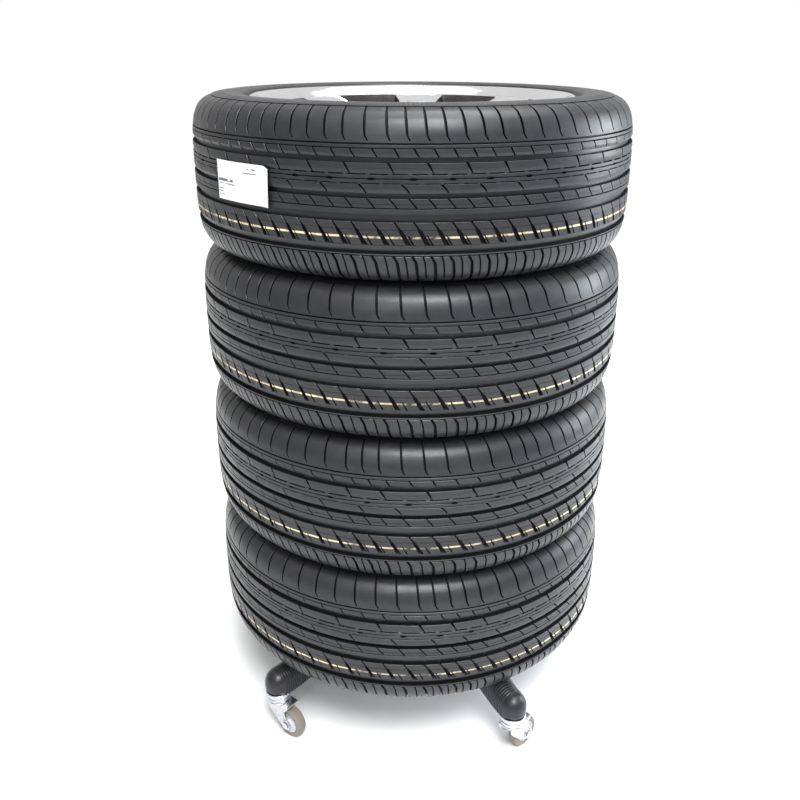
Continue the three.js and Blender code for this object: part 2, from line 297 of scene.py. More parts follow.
def label_paper():
    finish, tree, shader = new_finish("label paper")
    tone = place_group(tree, CLOUDY_TONE, {"Light": (0.76, 0.76, 0.785, 1), "Dark": (0.66, 0.66, 0.69, 1),
                                           "Scale": 40.0, "Contrast": 0.2})
    soiled = place_group(tree, WORN_AND_LIT_EDGES, {"Color": tone["Color"], "Wear And Highlight": grey(0.5, 0.03),
                                              "Amount": 0.5})
    tree.links.new(soiled["Color"], shader.inputs["Base Color"])
    rough = stretch(tree, noise(tree, object_place(tree), 150.0, 4.0), 0.3, 0.7, 0.5, 0.7)
    tree.links.new(rough, shader.inputs["Roughness"])
    grain_bump(tree, shader, 1500.0, 0.2, 0.0001)
    return finish


def floor_finish():
    finish, tree, shader = new_finish("pale studio floor")
    tone = place_group(tree, CLOUDY_TONE, {"Light": grey(0.96), "Dark": grey(0.94), "Scale": 2.0,
                                           "Contrast": 0.2})
    tree.links.new(tone["Color"], shader.inputs["Base Color"])
    shader.inputs["Roughness"].default_value = 0.85
    shader.inputs["Specular IOR Level"].default_value = 0.2
    return finish


def set_sheen(finish, level):
    finish.node_tree.nodes["Principled BSDF"].inputs["Specular IOR Level"].default_value = level


TYRE_RUBBER = tyre_rubber()
# Near-black rubber for the tread faces sunk below the crown: painted shade down in the slots and grooves.
SLOT_PAINTED_SHADE = plastic("rubber painted dark as slot shade", (0.005, 0.005, 0.0055, 1), (0.002, 0.002, 0.0025, 1),
                      0.6, 0.8, 1000.0, 0.3)
set_sheen(SLOT_PAINTED_SHADE, 0.15)
POLISHED_ALLOY = metal("polished alloy", grey(0.92), grey(0.84), 8.0, 0.08, 0.16, 700.0, 0.05)
ZINC_PLATE = metal("bright zinc plate", (0.56, 0.57, 0.6, 1), (0.4, 0.41, 0.44, 1),
                   40.0, 0.22, 0.36, 1200.0, 0.1)
# Dark alloy for the back of the spokes and the walls of the windows: painted shade standing in for the dark
# cavity seen through the windows.
WINDOW_PAINTED_SHADE = metal("alloy painted dark as window shade", (0.1, 0.095, 0.09, 1), (0.06, 0.057, 0.054, 1),
                      20.0, 0.4, 0.55, 900.0, 0.2)
POST_STEEL = metal("drawn steel tube", grey(0.5), grey(0.36), 40.0, 0.28, 0.45, 900.0, 0.25)
# its lighter rubbed edges are painted highlights along the crests of the arm ribs
BLACK_NYLON = plastic("black moulded nylon", (0.0125, 0.013, 0.0145, 1), (0.007, 0.007, 0.008, 1),
                      0.26, 0.4, 1300.0, 0.35, dust=0.06, rubbed_and_lit=0.6)
GREY_NYLON = plastic("grey moulded cap", (0.2, 0.2, 0.21, 1), (0.15, 0.15, 0.16, 1),
                     0.35, 0.5, 1300.0, 0.3, dust=0.1)
CASTOR_RUBBER = plastic("grey castor rubber", (0.2, 0.17, 0.15, 1), (0.14, 0.12, 0.108, 1),
                        0.55, 0.75, 900.0, 0.4, rubbed_and_lit=0.2)
CASTOR_PLASTIC = plastic("light grey castor core", (0.52, 0.53, 0.56, 1), (0.42, 0.43, 0.46, 1),
                         0.3, 0.45, 1400.0, 0.15, rubbed_and_lit=0.3)
set_sheen(BLACK_NYLON, 0.32)
VALVE_RUBBER = plastic("valve rubber", (0.02, 0.02, 0.021, 1), (0.012, 0.012, 0.013, 1),
                       0.45, 0.6, 1200.0, 0.3)
PRINT_INK = plastic("grey print", (0.12, 0.12, 0.14, 1), (0.08, 0.08, 0.1, 1), 0.5, 0.6, 1500.0, 0.1)
LABEL_PAPER = label_paper()

# ---------------------------------------------------------------- making pieces


def mesh_from(name, points, faces, finish, sharp=32):
    mesh = bpy.data.meshes.new(name)
    corners = [tuple(p) for p in np.asarray(points) * MM]
    mesh.from_pydata(corners, [], [tuple(int(i) for i in f) for f in faces])
    mesh.materials.append(finish)
    mesh.polygons.foreach_set("use_smooth", [True] * len(mesh.polygons))
    mesh.set_sharp_from_angle(angle=math.radians(sharp))
    mesh.validate()
    return mesh


def put(name, mesh, body, nodes, place=(0, 0, 0), turn=0.0, base=None):
    """A piece on its body. Any turn goes into the mesh, so the piece's box stays snug."""
    matrix = (base or Matrix()) @ Matrix.Translation(Vector(place) * MM) @ Matrix.Rotation(turn, 4, "Z")
    if base or turn:
        mesh = mesh.copy()
        mesh.transform(matrix.to_3x3().to_4x4())
    piece = bpy.data.objects.new(name, mesh)
    bpy.context.collection.objects.link(piece)
    piece.matrix_world = Matrix.Translation(matrix.translation)
    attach(piece, body)
    if nodes:
        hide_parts(*nodes)
    return piece


def rounded(profile, radius, steps=3, closed=True):
    """The profile with its corners rounded by up to `radius`."""
    points = [np.array(p, float) for p in profile]
    count = len(points)
    result = []
    for i, here in enumerate(points):
        if not closed and i in (0, count - 1):
            result.append(here)
            continue
        before = points[i - 1] - here
        after = points[(i + 1) % count] - here
        a, b = np.linalg.norm(before), np.linalg.norm(after)
        cut = min(radius, 0.45 * a, 0.45 * b)
        straight = np.dot(before, after) / (a * b) < -0.985
        if straight or cut < 0.02:
            result.append(here)
            continue
        start, end = here + before / a * cut, here + after / b * cut
        for k in range(steps + 1):
            t = k / steps
            result.append((1 - t) ** 2 * start + 2 * t * (1 - t) * here + t * t * end)
    return result


def turned_shape(profile, segments):
    """Points and faces of a closed (radius, height) profile turned about Z. Its ends may touch the axis."""
    profile = [tuple(p) for p in profile]
    points, rings = [], []
    for r, z in profile:
        if r < 1e-6:
            rings.append([len(points)] * segments)
            points.append((0, 0, z))
            continue
        rings.append(list(range(len(points), len(points) + segments)))
        for k in range(segments):
            a = 2 * math.pi * k / segments
            points.append((r * math.cos(a), r * math.sin(a), z))
    faces = []
    on_axis = profile[0][0] < 1e-6
    count = len(profile)
    for i in range(count - 1 if on_axis else count):
        low, high = rings[i], rings[(i + 1) % count]
        for k in range(segments):
            n = (k + 1) % segments
            corners = [low[k], low[n], high[n], high[k]]
            face = [c for j, c in enumerate(corners) if c != corners[j - 1]]
            if len(face) > 2:
                faces.append(face)
    area = sum(profile[i - 1][0] * profile[i][1] - profile[i][0] * profile[i - 1][1] for i in range(count))
    if area < 0:
        faces = [f[::-1] for f in faces]
    return points, faces


def together(*shapes):
    points, faces = [], []
    for more_points, more_faces in shapes:
        start = len(points)
        points.extend(tuple(p) for p in more_points)
        faces.extend([c + start for c in f] for f in more_faces)
    return points, faces


def banded(*shapes):
    """As together(), keeping each face's mark of whether it lies down in a slot, where it gets the painted
    slot shade.
    """
    points, faces = together(*[shape[:2] for shape in shapes])
    return points, faces, [mark for shape in shapes for mark in shape[2]]


def moved(shape, matrix):
    points, faces = shape
    return [tuple(matrix @ Vector(p)) for p in points], faces


def turned_across(shape):
    return moved(shape, Matrix.Rotation(math.pi / 2, 4, "X"))


def slab(outline, low, high, bevel=0.5):
    """A plate with rounded edges: the outline in X and Y, its thickness in Z."""
    ring = np.array(outline, float)
    if sum(ring[i - 1][0] * ring[i][1] - ring[i][0] * ring[i - 1][1] for i in range(len(ring))) < 0:
        ring = ring[::-1]
    before = ring - np.roll(ring, 1, 0)
    after = np.roll(ring, -1, 0) - ring
    normal = lambda e: np.stack([e[:, 1], -e[:, 0]], 1) / np.linalg.norm(e, axis=1)[:, None]
    a, b = normal(before), normal(after)
    outward = (a + b) / (1 + (a * b).sum(1))[:, None]
    layers = [(bevel, low), (0.3 * bevel, low + 0.3 * bevel), (0, low + bevel),
              (0, high - bevel), (0.3 * bevel, high - 0.3 * bevel), (bevel, high)]
    points = [(*(p - o * inset), z) for inset, z in layers for p, o in zip(ring, outward)]
    n = len(ring)
    faces = [[j * n + i, j * n + (i + 1) % n, (j + 1) * n + (i + 1) % n, (j + 1) * n + i]
             for j in range(len(layers) - 1) for i in range(n)]
    faces.append(list(range(n))[::-1])
    faces.append([(len(layers) - 1) * n + i for i in range(n)])
    return points, faces


def loft(rings):
    n = len(rings[0])
    points = [tuple(p) for ring in rings for p in ring]
    faces = [[j * n + i, j * n + (i + 1) % n, (j + 1) * n + (i + 1) % n, (j + 1) * n + i]
             for j in range(len(rings) - 1) for i in range(n)]
    faces.append(list(range(n))[::-1])
    faces.append([(len(rings) - 1) * n + i for i in range(n)])
    return points, faces


# ---------------------------------------------------------------- tyre

CROWN_V = [0, 40, 62, 78, 90, 98, 103, 105.6, 106]
CROWN_R = [318.4, 318.0, 316.6, 313.6, 308.2, 300.5, 290, 276, 262]
PITCHES = 74
TREAD_RADIUS = 318  # for turning lengths round the tread into angles
BAND_DEPTH = 7.5


def crown(v):
    return np.interp(np.abs(v), CROWN_V, CROWN_R)


def smooth_crown(v):
    """The crown's radius, eased between the given heights."""
    spread = np.array([-3.0, -1.5, 0, 1.5, 3.0])
    return np.mean([crown(np.asarray(v) + s) for s in spread], axis=0)


def pitch_starts():
    """Where each of the tread's pitches starts, in radians. Their lengths vary in short runs."""
    chance = random.Random(11)
    lengths = []
    while len(lengths) < PITCHES:
        size = chance.choice([0.86, 1.0, 1.16])
        lengths.extend([size] * chance.choice([2, 2, 4]))
    lengths = np.array(lengths[:PITCHES])
    starts = np.concatenate([[0], np.cumsum(lengths)]) / lengths.sum() * 2 * math.pi
    return starts


PITCH_STARTS = pitch_starts()


def repeats(every, phase):
    """Angles of a feature that comes once in `every` pitches."""
    starts = PITCH_STARTS
    return [starts[i] + phase * (starts[i + every] - starts[i]) for i in range(0, PITCHES, every)]


class Cut:
    """A slot or sipe across a band. path holds (height, shift) and width (height, width), in mm."""

    def __init__(self, path, width, phase=0.0, every=1, depth=5.0):
        self.path = sorted(path)
        self.width = sorted(width)
        self.low, self.high = self.path[0][0], self.path[-1][0]
        self.depth = depth
        self.angles = repeats(every, phase)

    def shift(self, v):
        return np.interp(v, [p[0] for p in self.path], [p[1] for p in self.path])

    def half(self, v):
        return np.interp(v, [p[0] for p in self.width], [p[1] for p in self.width]) / 2

    def reach(self, v):
        return float(np.clip((v - self.low) / 0.15 + 1, 0, 1) * np.clip((self.high - v) / 0.15 + 1, 0, 1))


def band_rows(top, bottom, cuts, slope, lines, chamfer, step):
    """Heights down the band's face, with how far each lies below the crown."""
    heights = {top - chamfer, bottom + chamfer}
    count = max(1, round((top - bottom - 2 * chamfer) / step))
    heights.update(top - chamfer - (top - bottom - 2 * chamfer) * i / count for i in range(count + 1))
    for cut in cuts:
        heights.update([cut.low - 0.15, cut.low, cut.high, cut.high + 0.15])
        heights.update(v for v, _ in cut.path)
    heights.update(v for v, _ in slope)
    for middle, width in lines:
        half = width / 2
        heights.update([middle - half - 0.2, middle - half, middle + half, middle + half + 0.2])
    inside = sorted((v for v in heights if bottom + chamfer <= v <= top - chamfer), reverse=True)
    kept = []
    for v in inside:
        if not kept or kept[-1] - v > 0.1:
            kept.append(v)
    slope = sorted(slope)
    rows = [(top, BAND_DEPTH), (top, chamfer)]
    for v in kept:
        drop = np.interp(v, [s[0] for s in slope], [s[1] for s in slope]) if slope else 0.0
        for middle, width in lines:
            if abs(v - middle) <= width / 2 + 0.01:
                drop = drop + 0.6
        rows.append((v, drop))
    rows += [(bottom, max(chamfer, rows[-1][1] + 0.2)), (bottom, BAND_DEPTH)]
    return rows


def tread_band(top, bottom, cuts=(), slope=(), lines=(), chamfer=0.5, step=7.0):
    """One closed ring of tread rubber between two heights, with its cuts sunk into it."""
    rows = band_rows(top, bottom, cuts, slope, lines, chamfer, step)
    marks = sorted((angle, index) for index, cut in enumerate(cuts) for angle in cut.angles)
    offsets = [(-1, -0.35, 0.0), (-1, 0.0, 0.1), (-1, 0.12, 1.0),
               (1, -0.12, 1.0), (1, 0.0, 0.1), (1, 0.35, 0.0)]
    columns = []
    if marks:
        for k, (angle, index) in enumerate(marks):
            following = marks[(k + 1) % len(marks)][0] + (2 * math.pi if k + 1 == len(marks) else 0)
            for side, extra, share in offsets:
                columns.append(("cut", k, side, extra, share))
            room = (following - angle) * TREAD_RADIUS - 4
            fillers = max(0, math.ceil(room / 9) - 1)
            columns.extend(("between", k, (j + 1) / (fillers + 1)) for j in range(fillers))
    else:
        columns = [("plain", 2 * math.pi * j / 256) for j in range(256)]
    points = []
    for v, base in rows:
        edges = []
        for angle, index in marks:
            cut = cuts[index]
            middle = cut.shift(v)
            half = cut.half(v)
            start, end = middle - half - 0.35, middle + half + 0.35
            edges.append((angle + start / TREAD_RADIUS, angle + end / TREAD_RADIUS))
        radius = float(smooth_crown(v))
        for column in columns:
            drop = base
            if column[0] == "plain":
                theta = column[1]
            elif column[0] == "between":
                a = edges[column[1]][1]
                n = (column[1] + 1) % len(marks)
                b = edges[n][0] + (2 * math.pi if n == 0 else 0)
                theta = a + (b - a) * column[2]
            else:
                _, k, side, extra, share = column
                angle, index = marks[k]
                cut = cuts[index]
                theta = angle + (cut.shift(v) + side * cut.half(v) + extra) / TREAD_RADIUS
                drop = max(base, cut.depth * share * cut.reach(v))
            r = radius - drop
            points.append((r * math.cos(theta), r * math.sin(theta), v, drop))
    n, m = len(columns), len(rows)
    faces = [[j * n + i, ((j + 1) % m) * n + i, ((j + 1) % m) * n + (i + 1) % n, j * n + (i + 1) % n]
             for j in range(m) for i in range(n)]
    sunk = np.array([p[3] for p in points])
    faces = np.array(faces)
    # faces sunk more than 1.3 mm below the crown are marked for the painted slot shade
    dark = sunk[faces].mean(axis=1) > 1.3
    return [p[:3] for p in points], faces.tolist(), dark.astype(int).tolist()


def ties(top, bottom, length, every, phase, drop=0.25):
    """Short bridges across a narrow circumferential slit."""
    points, faces = [], []
    for angle in repeats(every, phase):
        start = len(points)
        for theta in (angle - length / (2 * TREAD_RADIUS), angle + length / (2 * TREAD_RADIUS)):
            for v, depth in ((top + 0.4, 5), (top + 0.4, drop + 0.5), (top, drop), (bottom, drop),
                             (bottom - 0.4, drop + 0.5), (bottom - 0.4, 5)):
                r = float(smooth_crown(v)) - depth
                points.append((r * math.cos(theta), r * math.sin(theta), v))
        faces += [[start + i, start + (i + 1) % 6, start + 6 + (i + 1) % 6, start + 6 + i]
                  for i in range(6)]
        faces += [[start + 5 - i for i in range(6)], [start + 6 + i for i in range(6)]]
    return points, faces, [0] * len(faces)


def tread_blocks():
    fine = [(-100, 1.9), (100, 1.9)]
    outer_slot = Cut([(103.4, -7), (98, -6), (90, -5), (73, -3.35), (67.5, 0)],
                     [(103.4, 2), (98, 2.6), (85, 3), (67.5, 1.6)])
    slanted = Cut([(58.4, 0), (48.6, 5.8)], fine, 0.21)
    notch = Cut([(43, -7), (31, 0)], [(43, 3.4), (31, 1.5)], 0.1, 2)
    lens_up = Cut([(26.4, 0), (25.5, 0)], [(26.4, 5), (25.5, 9)], 0.58, 2, 3.5)
    lens_down = Cut([(24.4, 0), (23.5, 0)], [(24.4, 9), (23.5, 5)], 0.58, 2, 3.5)
    bent_notch = Cut([(19, 0), (13.5, 5.2), (8.5, 8.9)], [(19, 3), (8.5, 1.5)], 0.3, 2)
    hook = Cut([(2.5, 0), (-1, 3.3), (-8.5, 9.3)], fine, 0.95)
    inner_cut = Cut([(-25, 0), (-34, 6.7), (-52.5, 17)],
                    [(-25, 2), (-33, 2.4), (-35, 5.2), (-52.5, 6.4)], 0.21)
    inner_sipe = Cut([(-40, 0), (-52.5, 7)], [(-40, 1.6), (-52.5, 2.0)], 0.9, 1, 3.5)
    shoulder_slot = Cut([(-66, 0), (-74, 4.5), (-98, 7.5), (-103.4, 8)],
                        [(-66, 3.2), (-98, 3.8), (-103.4, 3)], 0.14)
    shoulder_sipe = Cut([(-66, 0), (-74, 2.5), (-96, 5)], [(-66, 1.8), (-96, 1.9)], 0.70, 1, 3.5)
    return banded(
        tread_band(103, 64.6, [outer_slot], slope=[(101, 0), (99, 0), (95, 0)], chamfer=0.7, step=5.5),
        tread_band(63, 59.5, chamfer=0.4),
        tread_band(58.4, 48.6, [slanted], slope=[(58.4, 0), (52.5, 0), (48.6, 2.2)], chamfer=0.4, step=3.5),
        tread_band(43, 31, [notch], slope=[(43, 0), (37.2, 0), (36.8, 0.5), (31, 0.6)],
                   chamfer=0.4, step=6),
        ties(31, 29.5, 5, 1, 0.0),
        tread_band(29.5, 25.5, [lens_up], chamfer=0.35),
        tread_band(24.4, 20, [lens_down], chamfer=0.35),
        ties(20, 19, 5, 1, 0.61),
        tread_band(19, 8.5, [bent_notch], slope=[(19, 0), (12, 0), (8.5, 0.9)], chamfer=0.4, step=5),
        tread_band(2.5, -8.5, [hook], lines=[(-4, 0.5)], chamfer=0.4, step=5),
        tread_band(-9.6, -16, chamfer=0.4),
        tread_band(-25, -52.5, [inner_cut, inner_sipe], lines=[(-34, 0.5)], chamfer=0.5, step=6),
        tread_band(-63.5, -65.2, chamfer=0.3),
        tread_band(-66.3, -103, [shoulder_slot, shoulder_sipe], slope=[(-101, 0), (-99, 0), (-95, 0)],
                   chamfer=0.7, step=5))


# Upper half of the sidewall, bead and liner, from the tread's edge round to the inside of the crown.
UPPER_SIDE = [
    (291, 97.5), (286.4, 100.5), (284.6, 102.4), (288.4, 103.2), (287, 103.9), (284, 104.6),
    (283.2, 104.3), (282.4, 104.8), (277, 105.5), (276.4, 105.2), (275.6, 105.7), (270, 106),
    (264, 106), (258, 105.8), (257.4, 105.3), (256.6, 105.6), (252, 104.6), (249, 104.4), (247.6, 103.6),
    (245.5, 102.5), (243, 97.5), (239.5, 93), (236.8, 90.4), (233, 88.7), (219.2, 88.4), (218.7, 86),
    (218.7, 66), (222, 65), (236, 78), (250, 90), (262, 94), (280, 92), (306, 72),
]
# How far the casing lies below the crown between the bands, down the tread. It rises to a bevel
# above the lower thin rib.
CASING_DEPTH = [(96, 5.8), (88, 5.8), (80, 5.8), (72, 5.8), (60, 5.8), (46, 5.8), (30, 5.8),
                (12, 5.8), (6, 5.8), (-6, 5.8), (-20, 5.2), (-36, 5.8), (-51, 5.8), (-53, 1.6),
                (-58.6, 3.4), (-59.4, 5.8), (-72, 5.8), (-80, 5.8), (-88, 5.8), (-96, 5.8)]


def casing_shape():
    outside = [(float(smooth_crown(v)) - depth, v) for v, depth in CASING_DEPTH]
    lower_side = [(r, -v) for r, v in UPPER_SIDE]
    return turned_shape(outside + lower_side + UPPER_SIDE[::-1], 256)


def make_tyres():
    points, faces, sunk = tread_blocks()
    tread = mesh_from("tread", points, faces, TYRE_RUBBER, 28)
    # the second finish paints shade onto the faces marked as down in the slots
    tread.materials.append(SLOT_PAINTED_SHADE)
    tread.polygons.foreach_set("material_index", sunk)
    casing = mesh_from("casing", *casing_shape(), TYRE_RUBBER, 24)
    for level, middle in enumerate(WHEEL_MIDDLES, 1):
        turn = math.radians([37, 205, 118, 291][level - 1])
        place = (*STACK, middle)
        body = f"wheel_{level}"
        put(f"tread_{level}", tread, body, [f"wheel_{level}_tyre"], place, turn)
        put(f"casing_{level}", casing, body, [f"wheel_{level}_tyre"], place, turn)


# ---------------------------------------------------------------- alloy wheel

SPOKE_COUNT = 7
FIRST_WINDOW = 62


def barrel_shape():
    profile = [
        (222, -97), (235.5, -95.4), (235.5, -91), (230, -90.2), (221, -89.6), (218.3, -87), (217.6, -72),
        (216, -60), (216, -30), (204, -8), (196, 4), (196, 44), (204, 54), (216, 60), (217.6, 72),
        (218.3, 87), (221, 89.6), (230, 90.2), (235.5, 92), (236, 96), (236, 100), (231, 101.8),
        (225, 101), (217, 95), (211.5, 87), (209.2, 80), (209, 60), (200, 54), (189, 48), (189, 4),
        (198, -10), (209, -28), (211, -84), (215, -92.5),
    ]
    return turned_shape(rounded(profile, 1.6, 3), 192)


def spoke_cage():
    """Front and back nets of a seven-spoke centre, joined round the bore, the rim and each window. The back
    net and the walls round each window are marked for the painted window shade.
    """
    front_z = [(33.3, 56), (36, 58), (76, 62), (90, 63.5), (120, 71), (160, 80), (190, 86.5), (208.4, 90)]
    back_z = [(33.3, 45), (80, 45.5), (120, 54), (160, 63), (195, 71), (208.4, 73)]
    reach = [33.5, 36.5, 47, 70, 82, 90, 94, 104, 122, 145, 168, 186, 194, 199, 206, 208.4]
    inner_row, outer_row = 5, 13
    sector = 2 * math.pi / SPOKE_COUNT
    points, faces, inner = [], [], []
    columns = 10

    def half_angle(r):
        return math.radians(np.interp(r, [90, 120, 160, 199], [17.5, 12.6, 10.4, 11.5]))

    def angles(r):
        half = half_angle(r)
        window = sector - 2 * half
        return [-half, -0.82 * half, -0.4 * half, 0.4 * half, 0.82 * half, half,
                half + 0.2 * window, half + 0.4 * window, half + 0.6 * window, half + 0.8 * window]

    def net(side):
        heights = front_z if side > 0 else back_z
        start = len(points)
        for row, r in enumerate(reach):
            z = np.interp(r, [h[0] for h in heights], [h[1] for h in heights])
            for k in range(SPOKE_COUNT):
                middle = math.radians(FIRST_WINDOW) + (k + 0.5) * sector
                for c, a in enumerate(angles(r)):
                    lift = 0
                    if side > 0 and inner_row < row < outer_row and c in (2, 3):
                        lift = 2.2
                    if side > 0 and inner_row < row < outer_row and c in (0, 5):
                        lift = -1.2
                    points.append((r * math.cos(middle + a), r * math.sin(middle + a), z + lift))
        return start

    front, back = net(1), net(-1)
    total = columns * SPOKE_COUNT

    def quad(*corners):
        faces.append([start + row * total + c % total for start, row, c in corners])

    for row in range(len(reach) - 1):
        in_window_rows = inner_row <= row < outer_row
        for c in range(total):
            here = c % columns
            open_here = in_window_rows and here >= 5
            if not open_here:
                quad((front, row, c), (front, row + 1, c), (front, row + 1, c + 1), (front, row, c + 1))
                quad((back, row, c), (back, row, c + 1), (back, row + 1, c + 1), (back, row + 1, c))
                inner += [0, 1]
            if in_window_rows and here == 5:
                inner.append(1)
                quad((front, row, c), (back, row, c), (back, row + 1, c), (front, row + 1, c))
            if in_window_rows and here == 0:
                inner.append(1)
                quad((front, row, c), (front, row + 1, c), (back, row + 1, c), (back, row, c))
            if open_here and row == inner_row:
                inner.append(1)
                quad((front, row, c), (front, row, c + 1), (back, row, c + 1), (back, row, c))
            if open_here and row == outer_row - 1:
                inner.append(1)
                quad((front, row + 1, c), (back, row + 1, c), (back, row + 1, c + 1), (front, row + 1, c + 1))
    last = len(reach) - 1
    for c in range(total):
        quad((front, 0, c), (front, 0, c + 1), (back, 0, c + 1), (back, 0, c))
        quad((front, last, c), (back, last, c), (back, last, c + 1), (front, last, c + 1))
        inner += [0, 0]
    return points, faces, inner


def flattened(piece):
    """The piece's mesh with its modifiers worked in, and the piece itself gone."""
    shown = piece.evaluated_get(bpy.context.evaluated_depsgraph_get())
    mesh = bpy.data.meshes.new_from_object(shown)
    bpy.data.objects.remove(piece)
    return mesh


def loose(name, mesh):
    piece = bpy.data.objects.new(name, mesh)
    bpy.context.collection.objects.link(piece)
    return piece


def spoked_centre():
    points, faces, inner = spoke_cage()
    net = mesh_from("spoked centre", points, faces, POLISHED_ALLOY, 60)
    # the back net and the window walls get the painted shade of the dark windows
    net.materials.append(WINDOW_PAINTED_SHADE)
    net.polygons.foreach_set("material_index", inner)
    cage = loose("spoked_centre_cage", net)
    cage.data.polygons.foreach_set("use_smooth", [True] * len(cage.data.polygons))
    smoother = cage.modifiers.new("smooth", "SUBSURF")
    smoother.levels = smoother.render_levels = 2
    mesh = flattened(cage)
    centre = loose("spoked_centre_drilled", mesh)
    drills = []
    for k in range(5):
        a = 2 * math.pi * k / 5
        drill = turned_shape([(0, 40), (7, 40), (7, 54), (11, 59), (11, 70), (0, 70)], 32)
        drills.append(moved(drill, Matrix.Translation((56 * math.cos(a), 56 * math.sin(a), 0))))
    cutter = loose("lug_hole_drills", mesh_from("lug hole drills", *together(*drills), POLISHED_ALLOY))
    cut = centre.modifiers.new("lug holes", "BOOLEAN")
    cut.operation = "DIFFERENCE"
    cut.solver = "EXACT"
    cut.object = cutter
    mesh = flattened(centre)
    bpy.data.objects.remove(cutter)
    mesh.polygons.foreach_set("use_smooth", [True] * len(mesh.polygons))
    mesh.set_sharp_from_angle(angle=math.radians(38))
    return mesh


def valve_shape():
    body = turned_shape(rounded([(0, 0), (7.2, 0), (7.2, 1.6), (5.4, 2.6), (6.1, 5), (4.4, 11), (3.8, 14),
                                 (3.8, 20), (0, 20)], 0.5, 2, False), 32)
    cap = turned_shape(rounded([(0, 19.6), (4.1, 19.6), (4.1, 30.2), (3.2, 32), (0, 32)], 0.6, 3, False), 32)
    grips = []
    for k in range(12):
        a = 2 * math.pi * k / 12
        rib = slab([(-0.4, -0.3), (0.4, -0.3), (0.4, 0.35), (-0.4, 0.35)], 20.5, 29, 0.12)
        grips.append(moved(rib, Matrix.Rotation(a, 4, "Z") @ Matrix.Translation((0, 4.05, 0))))
    whole = together(body, cap, *grips)
    lean = Matrix.Translation((185.8, 0, 29)) @ Matrix.Rotation(math.radians(-78), 4, "Y")
    return moved(whole, Matrix.Rotation(math.radians(FIRST_WINDOW), 4, "Z") @ lean)


def make_wheels():
    barrel = mesh_from("barrel", *barrel_shape(), POLISHED_ALLOY, 30)
    centre = spoked_centre()
    valve = mesh_from("valve", *valve_shape(), VALVE_RUBBER, 35)
    for level, middle in enumerate(WHEEL_MIDDLES, 1):
        place, body = (*STACK, middle), f"wheel_{level}"
        put(f"rim_barrel_{level}", barrel, body, [f"wheel_{level}_barrel"], place)
        put(f"spoked_centre_{level}", centre, body, [f"wheel_{level}_spokes"], place)
        put(f"tyre_valve_{level}", valve, body, [f"wheel_{level}_valve"], place)


# ---------------------------------------------------------------- label on the top tyre


def label_sheet(low, high, start, end, radius, thickness, curl=0.0, cut_corner=0.0, across=36, up=14):
    """A thin curved sheet round the tread between two directions, with its far edge lifting."""
    points = []
    for skin in (0, 1):
        for j in range(up + 1):
            for i in range(across + 1):
                t, h = i / across, j / up
                lift = curl * max(0.0, (t - 0.78) / 0.22) ** 2 * (0.45 + 0.55 * (1 - h))
                a = math.radians(start + (end - start) * t)
                v = low + (high - low) * h
                v -= cut_corner * max(0.0, (t - 0.93) / 0.07) * max(0.0, (h - 0.5) / 0.5)
                dent = 0.25 * math.sin(v * 0.55) * math.cos(t * 9)
                r = radius + skin * thickness + lift + (dent if 0.02 < t < 0.98 else 0)
                points.append((r * math.cos(a), r * math.sin(a), v))
    n, m = across + 1, up + 1
    faces = []
    for j in range(up):
        for i in range(across):
            a, b = j * n + i, j * n + i + 1
            faces.append([a, a + n, b + n, b])
            faces.append([a + n * m, b + n * m, b + n + n * m, a + n + n * m])
    for i in range(across):
        faces.append([i, i + 1, i + 1 + n * m, i + n * m])
        top = up * n + i
        faces.append([top + 1, top, top + n * m, top + 1 + n * m])
    for j in range(up):
        a, b = j * n, (j + 1) * n
        faces.append([b, a, a + n * m, b + n * m])
        c, d = j * n + across, (j + 1) * n + across
        faces.append([c, d, d + n * m, c + n * m])
    return points, faces


# Low and high edge in mm from the wheel's middle, start and end in degrees.
PRINTED_BARS = [(25, 26.4, 231.5, 234.4), (20, 21, 230, 234.6), (6.4, 9.6, 220.4, 226.4),
                (3, 3.8, 220.6, 227.2), (-3.4, -2.6, 220.4, 222.4), (-7, -6.2, 220.4, 222),
                (-10.6, -9.8, 220.4, 222.6)]


def make_label():
    place = (*STACK, WHEEL_MIDDLES[3])
    sheet = label_sheet(-17, 32.5, 219.9, 238.3, 318.95, 0.3, curl=4.2, cut_corner=3.5)
    put("label_sheet", mesh_from("label sheet", *sheet, LABEL_PAPER, 50), "wheel_4", ["paper_label"],
        place)
    bars = []
    for low, high, start, end in PRINTED_BARS:
        bars.append(label_sheet(low, high, start, end, 319.35, 0.12, across=8, up=1))
    put("label_print", mesh_from("label print", *together(*bars), PRINT_INK, 50), "wheel_4", [],
        place)


# ---------------------------------------------------------------- base, post and cap


def arch_ring(r, half_width, low, high, edge=2.5, steps=18):
    """Section of an arm at distance r from the post: flat underside with rounded edges, arched top."""
    bend = [(math.sin(k * math.pi / 8), 1 - math.cos(k * math.pi / 8)) for k in range(5)]
    ring = [(r, half_width - edge + edge * across, low + edge * rise) for across, rise in bend]
    arch = min(half_width, high - low - 2, high - low - edge - 0.2)
    for i in range(1, steps):
        a = math.pi * i / steps
        ring.append((r, half_width * math.cos(a), high - arch + arch * math.sin(a)))
    ring += [(r, -half_width + edge - edge * across, low + edge * rise) for across, rise in bend[::-1]]
    return ring


ARM_R = [30, 120, 222, 246, 270, 286, 298]
ARM_HALF = [24, 22.5, 21, 20.8, 20.5, 20.5, 20.5]
ARM_LOW = [104, 96, 82, 78, 74, 72, 71]
ARM_HIGH = [158, 143, 125, 120.9, 119.6, 114, 111.2]
RIB_PITCH = 4.4
RIB_DEPTH = 1.9


